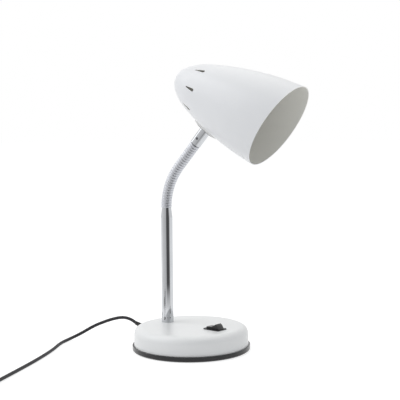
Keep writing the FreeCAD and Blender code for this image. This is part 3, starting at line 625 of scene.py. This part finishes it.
@dataclass
class StrainRelief:
    """The soft bush that grips the flex in the base's wall and tapers out along it."""

    wardrobe: Wardrobe
    wall_x: float = -63.1 * MM
    inside: float = 4.8 * MM
    neck_radius: float = 3.6 * MM
    flange_radius: float = 4.6 * MM
    flange: float = 1.2 * MM
    flange_round: float = 0.3 * MM
    root_radius: float = 3.1 * MM
    tip_radius: float = 2.15 * MM
    length: float = 21.0 * MM
    bore_radius: float = 1.82 * MM
    rings: int = 6
    ring_depth: float = 0.22 * MM
    rows_per_ring: int = 8
    columns: int = 32

    def profile(self) -> list[tuple[float, float]]:
        """Gives the outline, as distance from the wall along the flex and radius, round to the bore."""
        corners = [
            (-self.inside, self.bore_radius),
            (-self.inside, self.neck_radius),
            (0.0, self.neck_radius),
            (0.0, self.flange_radius - self.flange_round),
            (self.flange_round, self.flange_radius),
            (self.flange - self.flange_round, self.flange_radius),
            (self.flange, self.flange_radius - self.flange_round),
            (self.flange, self.root_radius),
        ]
        rows = self.rings * self.rows_per_ring
        for row in range(1, rows + 1):
            share = row / rows
            swell = math.sin(math.pi * self.rings * share) ** 2
            radius = self.root_radius + (self.tip_radius - self.root_radius) * share
            distance = self.flange + (self.length - self.flange) * share
            corners.append((distance, radius - self.ring_depth * (1 - swell)))
        corners.append((self.length, self.bore_radius))
        return corners

    def build(self, line: list[Vector]) -> bpy.types.Object:
        """Builds the relief along the flex.

        Args:
            line: points of the flex's own line, from the base on.

        Returns:
            The relief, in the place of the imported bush.
        """
        path = [Vector((self.wall_x + self.inside, line[0].y, line[0].z)), *line]
        reach = [0.0]
        for a, b in zip(path, path[1:]):
            reach.append(reach[-1] + (b - a).length)
        points, faces = [], []
        outline = self.profile()
        for distance, radius in outline:
            along = distance + self.inside
            index = max(k for k in range(len(path) - 1) if reach[k] <= along + TINY)
            share = (along - reach[index]) / (reach[index + 1] - reach[index])
            middle = path[index].lerp(path[index + 1], share)
            heading = (path[min(index + 2, len(path) - 1)] - path[max(index - 1, 0)]).normalized()
            side = heading.cross(Vector((0, 0, 1))).normalized()
            top = side.cross(heading)
            for column in range(self.columns):
                angle = 2 * math.pi * column / self.columns
                points.append(middle + (side * math.cos(angle) + top * math.sin(angle)) * radius)
        for row in range(len(outline)):
            low, high = row * self.columns, (row + 1) % len(outline) * self.columns
            for column in range(self.columns):
                after = (column + 1) % self.columns
                faces.append((low + column, high + column, high + after, low + after))
        relief = mesh_piece("strain_relief", points, faces)
        dress(relief, self.wardrobe.material(MOULDED_PVC))
        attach(relief, "base")
        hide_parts("cord_boot")
        log.info("strain relief, %.0f mm long", self.length / MM)
        return relief


@dataclass
class CordTie:
    """The soft strip that holds the coil's turns together, drawn snug round them.

    It lies in an upright plane through the coil's axis, turn_deg on from where the coil starts.
    """

    wardrobe: Wardrobe
    turn_deg: float = 108.0
    width: float = 5.0 * MM
    thickness: float = 0.5 * MM
    slip: float = 0.05 * MM
    edge_round: float = 0.12 * MM
    steps_per_corner: int = 8

    def crossings(self, line: list[Vector], centre: Vector, angle: float) -> list[tuple[float, float]]:
        """Finds where the turns pass through the strip's upright plane.

        Args:
            line: points of the flex's own line.
            centre: the middle of the coil.
            angle: the plane's direction from there, in radians.

        Returns:
            Distance from the coil's axis and height of each turn.
        """
        outward = Vector((math.cos(angle), math.sin(angle), 0))
        along = Vector((-outward.y, outward.x, 0))
        found = []
        for a, b in zip(line, line[1:]):
            before, after = (a - centre).dot(along), (b - centre).dot(along)
            if before * after <= 0 and before != after and (a - centre).dot(outward) > 0:
                point = a.lerp(b, before / (before - after))
                found.append(((point - centre).dot(outward), point.z))
        return found

    def hull(self, points: list[tuple[float, float]]) -> list[tuple[float, float]]:
        """Gives the outer corners of a set of points, anticlockwise."""
        ring = []
        for ordered in (sorted(points), sorted(points, reverse=True)):
            side = []
            for point in ordered:
                while len(side) > 1 and cross(side[-2], side[-1], point) <= 0:
                    side.pop()
                side.append(point)
            ring += side[:-1]
        return ring

    def outline(self, corners: list[tuple[float, float]], gap: float) -> list[tuple[float, float]]:
        """Gives the strip's line round the turns, at a gap from their centres, with an arc at each corner."""
        points = []
        for before, corner, after in zip(corners[-1:] + corners, corners, corners[1:] + corners[:1]):
            first = math.atan2(corner[1] - before[1], corner[0] - before[0]) - math.pi / 2
            last = math.atan2(after[1] - corner[1], after[0] - corner[0]) - math.pi / 2
            turned = (last - first) % (2 * math.pi)
            for step in range(self.steps_per_corner + 1):
                angle = first + turned * step / self.steps_per_corner
                points.append((corner[0] + gap * math.cos(angle), corner[1] + gap * math.sin(angle)))
        return points

    def build(
        self, line: list[Vector], centre: Vector, start_angle: float, flex_radius: float
    ) -> bpy.types.Object:
        """Builds the strip.

        Args:
            line: points of the flex's own line.
            centre: the middle of the coil.
            start_angle: where the coil starts, in radians.
            flex_radius: the flex's radius.

        Returns:
            The strip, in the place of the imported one.
        """
        angle = start_angle + math.radians(self.turn_deg)
        outward = Vector((math.cos(angle), math.sin(angle), 0))
        along = Vector((-outward.y, outward.x, 0))
        corners = self.hull(self.crossings(line, centre, angle))
        half, soft = self.width / 2, self.edge_round
        inner = flex_radius + self.slip
        outer = inner + self.thickness
        section = [
            (inner, -half + soft), (inner, half - soft), (inner + soft, half),
            (outer - soft, half), (outer, half - soft), (outer, -half + soft),
            (outer - soft, -half), (inner + soft, -half),
        ]
        points, faces = [], []
        for gap, across in section:
            for radius, height in self.outline(corners, gap):
                points.append(Vector((centre.x, centre.y, height)) + outward * radius + along * across)
        count = len(points) // len(section)
        for row in range(len(section)):
            low, high = row * count, (row + 1) % len(section) * count
            for k in range(count):
                after = (k + 1) % count
                faces.append((low + k, high + k, high + after, low + after))
        tie = mesh_piece("coil_tie", points, faces)
        dress(tie, self.wardrobe.material(MOULDED_PVC))
        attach(tie, "base")
        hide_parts("cord_tie")
        log.info("coil tie round %d corners", len(corners))
        return tie


@dataclass
class MainsFlex:
    """The mains flex from the base to the plug: a hump, a run on the table, and a tied coil."""

    wardrobe: Wardrobe
    radius: float = 1.8 * MM
    coil_radius: float = 26.5 * MM
    coil_pitch: float = 4.2 * MM
    coil_layers: int = 4
    turns_per_layer: float = 2.5
    points_per_turn: int = 14
    tail: float = 46.0 * MM
    tail_flat: float = 14.0 * MM
    tail_foot_share: float = 0.55
    plug_back: float = 6.85 * MM
    length: float = 1.887
    last_turn: float = 0.001
    steps_per_point: int = 6
    round_steps: int = 5

    ROUTE_MM = [
        (-66, 0, 14.5), (-71.5, 0, 14.5), (-76.9, -0.3, 15.9), (-82.4, -1.5, 18.8), (-89, -3.9, 23.1),
        (-97, -7.9, 24.9), (-106, -13.4, 23.1), (-115.5, -20.4, 19.3), (-125, -29.5, 14.2),
        (-133, -41, 6.7), (-137.5, -56, 1.9), (-131, -75, 1.8), (-113, -102, 1.8), (-92, -142, 1.8),
        (-71, -189, 1.8), (-51, -232, 2.5), (-41.9, -250.9, 2.5),
    ]

    def __post_init__(self) -> None:
        """Works out where the coil lies from the end of the route."""
        self.route = [Vector(p) * MM for p in self.ROUTE_MM]
        heading = (self.route[-1] - self.route[-2]) * Vector((1, 1, 0))
        heading.normalize()
        inward = Vector((heading.y, -heading.x, 0))
        self.coil_centre = self.route[-1] + inward * self.coil_radius
        self.start_angle = math.atan2(-inward.y, -inward.x)
        self.layer_angle = 2 * math.pi * self.turns_per_layer
        self.period = self.layer_angle + math.pi
        self.total_angle = self.coil_layers * self.layer_angle + (self.coil_layers - 1) * math.pi

    def coil_point(self, turned: float) -> Vector:
        """Gives a point of the coil, which spirals in and out and climbs where it reverses.

        Args:
            turned: the angle turned since the coil's start, in radians.

        Returns:
            The point, in metres.
        """
        reversal = self.layer_angle + math.pi / 2
        wave, span, inward = turned, reversal, True
        while wave > span:
            wave -= span
            span = self.period
            inward = not inward
        step = self.coil_pitch / (2 * math.pi)
        inner = self.coil_radius - step * reversal
        if turned <= reversal:
            radius = self.coil_radius - step * wave
        elif inward:
            radius = inner + step * (self.period - wave)
        else:
            radius = inner + step * wave
        layer, within = divmod(turned, self.period)
        climbed = max(0.0, (within - self.layer_angle) / math.pi)
        rise = layer + climbed * climbed * (3 - 2 * climbed)
        angle = self.start_angle - turned
        across = Vector((math.cos(angle), math.sin(angle), 0)) * radius
        return self.coil_centre + across + Vector((0, 0, rise * self.coil_pitch))

    def points(self) -> list[Vector]:
        """Gives every point of the flex's own line, from the base to the back of the plug."""
        count = round(self.total_angle / (2 * math.pi) * self.points_per_turn)
        turned = [self.total_angle * k / count for k in range(1, count + 1)]
        coil = [self.coil_point(angle) for angle in turned]
        end, before = coil[-1], self.coil_point(self.total_angle - self.last_turn)
        heading = (end - before).normalized()
        drop = Vector((0, 0, end.z - self.plug_back))
        run = self.tail - self.tail_flat
        tail = [
            end + heading * self.tail_flat,
            end + heading * (self.tail_flat + run * self.tail_foot_share) - drop,
            end + heading * self.tail - drop,
        ]
        return [*self.route, *coil, *tail]

    def centreline(self, curve: bpy.types.Curve) -> list[Vector]:
        """Reads the flex's own line from its spline.

        Args:
            curve: the flex's curve.

        Returns:
            Points along the line, from the base on.
        """
        plain = curve.copy()
        plain.bevel_depth = 0
        holder = bpy.data.objects.new("flex_line", plain)
        mesh = bpy.data.meshes.new_from_object(holder)
        line = [vertex.co.copy() for vertex in mesh.vertices]
        bpy.data.objects.remove(holder)
        bpy.data.meshes.remove(mesh)
        bpy.data.curves.remove(plain)
        return line

    def build(self) -> bpy.types.Object:
        """Returns:
            The flex.
        """
        points = self.points()
        curve = bpy.data.curves.new("mains_flex", "CURVE")
        curve.dimensions = "3D"
        spline = curve.splines.new("NURBS")
        spline.points.add(len(points) - 1)
        for control, point in zip(spline.points, points):
            control.co = (*point, 1.0)
        spline.order_u = 3
        spline.use_endpoint_u = True
        spline.resolution_u = self.steps_per_point
        curve.bevel_depth = self.radius
        curve.bevel_resolution = self.round_steps
        curve.use_fill_caps = True
        flex = bpy.data.objects.new("mains_flex", curve)
        bpy.context.scene.collection.objects.link(flex)
        curve.materials.append(self.wardrobe.material(FLEX_PVC))
        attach(flex, "base")
        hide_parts("cord_free", "cord_coil", "cord_tail")
        line = self.centreline(curve)
        relief = StrainRelief(self.wardrobe).build(line)
        tie = CordTie(self.wardrobe).build(line, self.coil_centre, self.start_angle, self.radius)
        log.info("mains flex, %.2f m", self.length)
        return flex


@dataclass
class Studio:
    """A white table and surround, soft light from above and the left, and the photograph's camera."""

    camera_place: tuple[float, float, float] = (0.64218, -0.76187, 0.23462)
    camera_turn_deg: float = 39.50
    camera_tilt_deg: float = -4.0
    camera_roll_deg: float = -0.48
    camera_lens_mm: float = 82.07
    sensor_mm: float = 36.0
    world_strength: float = 0.57
    world_tint: str = "#fafcff"
    top_tint: str = "#fffdf6"
    key_place: tuple[float, float, float] = (-1.25, -1.0, 1.6)
    key_size: float = 1.6
    key_power: float = 17.5
    top_place: tuple[float, float, float] = (0.0, 0.5, 1.8)
    top_size: float = 1.8
    top_power: float = 8.5
    aim: tuple[float, float, float] = (0, 0, 0.15)
    table_size: float = 60.0
    table_drop: float = 0.0002
    table_glow: float = 0.74
    table_colour: str = "#f2f2f2"
    table_seen_colour: str = "#bcbcbc"
    stem_x: float = -34.5 * MM
    card_foot: float = 0.22
    card_fade: float = 0.2
    card_lift: float = 0.001
    card_radius: float = 0.62
    card_height: float = 0.9
    card_columns: int = 96
    card_rows: int = 24
    card_stops: tuple[tuple[float, float], ...] = (
        (-150.0, 1.0), (-64.0, 0.66), (-56.0, 0.11), (-8.0, 0.11), (12.0, 1.0)
    )

    def seen(self, tree: bpy.types.NodeTree) -> bpy.types.NodeSocket:
        """Gives a socket that is 1 for rays that show a thing to the eye, straight, mirrored or through."""
        rays = add_node(tree, "LightPath").outputs
        shown = rays["Is Camera Ray"]
        for name in ("Is Glossy Ray", "Is Transmission Ray"):
            shown = add_node(tree, "Math", {"operation": "MAXIMUM"}, {0: shown, 1: rays[name]}).outputs[0]
        return shown

    def world(self) -> None:
        """Makes a white surround that gives the object an even light and shows as plain white."""
        world = bpy.data.worlds.new("white_surround")
        bpy.context.scene.world = world
        world.use_nodes = True
        tree = world.node_tree
        tree.nodes.clear()
        seen = self.seen(tree)
        strength = add_node(
            tree, "MapRange", {"To Min": self.world_strength, "To Max": 1.0}, {"Value": seen}
        )
        tint = add_node(
            tree, "Mix", {"data_type": "RGBA", 6: linear(self.world_tint), 7: (1, 1, 1, 1)}, {0: seen}
        ).outputs[2]
        light = add_node(tree, "Background", links={"Color": tint, "Strength": strength.outputs["Result"]})
        add_node(tree, "OutputWorld", links={"Surface": light.outputs["Background"]})

    def table(self) -> bpy.types.Object:
        """Makes the white table that the lamp stands on, which keeps its shadow."""
        half = self.table_size / 2
        sides = ((-half, -half), (half, -half), (half, half), (-half, half))
        corners = [Vector((x, y, -self.table_drop)) for x, y in sides]
        table = mesh_piece("table", corners, [(0, 1, 2, 3)], smooth=False)
        material = bpy.data.materials.new("white_table")
        material.use_nodes = True
        tree = material.node_tree
        tree.nodes.clear()
        matt = add_node(tree, "BsdfDiffuse", {"Color": linear(self.table_colour)})
        pale = add_node(tree, "BsdfDiffuse", {"Color": linear(self.table_seen_colour)})
        glow = add_node(tree, "Emission", {"Color": (1, 1, 1, 1), "Strength": self.table_glow})
        both = add_node(tree, "AddShader", links={0: pale.outputs[0], 1: glow.outputs[0]})
        shown = add_node(
            tree, "MixShader", links={0: self.seen(tree), 1: matt.outputs[0], 2: both.outputs[0]}
        )
        add_node(tree, "OutputMaterial", links={"Surface": shown.outputs[0]})
        dress(table, material)
        return table

    def card(self, name: str) -> bpy.types.Object:
        """Stands a grey card in the studio, its foot laid out on the table, which only reflections show.

        Its stops are turns round the stem, in degrees from +X, each with how bright the card is there.

        Args:
            name: the card's name.

        Returns:
            The card.
        """
        columns, rows, stops = self.card_columns, self.card_rows, self.card_stops
        points, faces, glow = [], [], []
        for row in range(rows + 1):
            reach = self.card_foot + (self.card_radius - self.card_foot) * min(1.0, 2 * row / rows)
            z = self.card_lift + self.card_height * max(0.0, 2 * row / rows - 1)
            shown = min(1.0, (reach - self.card_foot) / self.card_fade)
            for column in range(columns + 1):
                turn = stops[0][0] + (stops[-1][0] - stops[0][0]) * column / columns
                low, high = next(pair for pair in zip(stops, stops[1:]) if turn <= pair[1][0] + TINY)
                bright = low[1] + (high[1] - low[1]) * (turn - low[0]) / (high[0] - low[0])
                angle = math.radians(turn)
                points.append(Vector((self.stem_x + reach * math.cos(angle), reach * math.sin(angle), z)))
                glow.append(1 - (1 - bright) * shown)
        for row in range(rows):
            for column in range(columns):
                start = row * (columns + 1) + column
                above = start + columns + 1
                faces.append((start, start + 1, above + 1, above))
        card = mesh_piece(name, points, faces)
        card.data.attributes.new(CARD_GLOW, "FLOAT", "POINT").data.foreach_set("value", glow)
        material = bpy.data.materials.new(name)
        material.use_nodes = True
        tree = material.node_tree
        tree.nodes.clear()
        level = add_node(tree, "Attribute", {"attribute_name": CARD_GLOW}).outputs["Fac"]
        light = add_node(tree, "Emission", {"Color": (1, 1, 1, 1)}, {"Strength": level})
        add_node(tree, "OutputMaterial", links={"Surface": light.outputs[0]})
        dress(card, material)
        for kind in ("camera", "diffuse", "transmission", "shadow", "volume_scatter"):
            setattr(card, "visible_" + kind, False)
        return card

    def panel(
        self, name: str, place: tuple[float, float, float], size: float, power: float, tint: str = "#ffffff"
    ) -> bpy.types.Object:
        """Hangs one soft light, aimed at the lamp.

        Args:
            name: the light's name.
            place: where it hangs, in metres.
            size: the side of its square face, in metres.
            power: its power, in watts.
            tint: its colour.

        Returns:
            The light.
        """
        light = bpy.data.lights.new(name, "AREA")
        light.size = size
        light.energy = power
        light.color = linear(tint)[:3]
        lamp = bpy.data.objects.new(name, light)
        lamp.location = place
        lamp.rotation_mode = "QUATERNION"
        lamp.rotation_quaternion = (Vector(self.aim) - Vector(place)).to_track_quat("-Z", "Y")
        bpy.context.scene.collection.objects.link(lamp)
        return lamp

    def camera(self) -> bpy.types.Object:
        """Sets the camera at the photograph's place."""
        data = bpy.data.cameras.new("photo_camera")
        data.lens = self.camera_lens_mm
        data.sensor_width = self.sensor_mm
        camera = bpy.data.objects.new("photo_camera", data)
        turn = Matrix.Rotation(math.radians(self.camera_turn_deg), 4, "Z")
        tilt = Matrix.Rotation(math.radians(90 + self.camera_tilt_deg), 4, "X")
        roll = Matrix.Rotation(math.radians(self.camera_roll_deg), 4, "Z")
        camera.matrix_world = Matrix.Translation(self.camera_place) @ turn @ tilt @ roll
        bpy.context.scene.collection.objects.link(camera)
        bpy.context.scene.camera = camera
        return camera

    def build(self) -> None:
        """Sets up the whole studio."""
        bpy.context.scene.view_settings.view_transform = "Standard"
        self.world()
        self.table()
        self.panel("key_light", self.key_place, self.key_size, self.key_power)
        self.panel("top_light", self.top_place, self.top_size, self.top_power, self.top_tint)
        self.card("front_card")
        self.camera()
        log.info("studio ready")


def main() -> None:
    """Builds the lamp's looks and the studio round it."""
    logging.basicConfig(level=logging.INFO)
    wardrobe = Wardrobe()
    RigidPieces(wardrobe).build()
    NeckHose(wardrobe).build()
    MainsFlex(wardrobe).build()
    Studio().build()


if __name__ == "__main__":
    main()
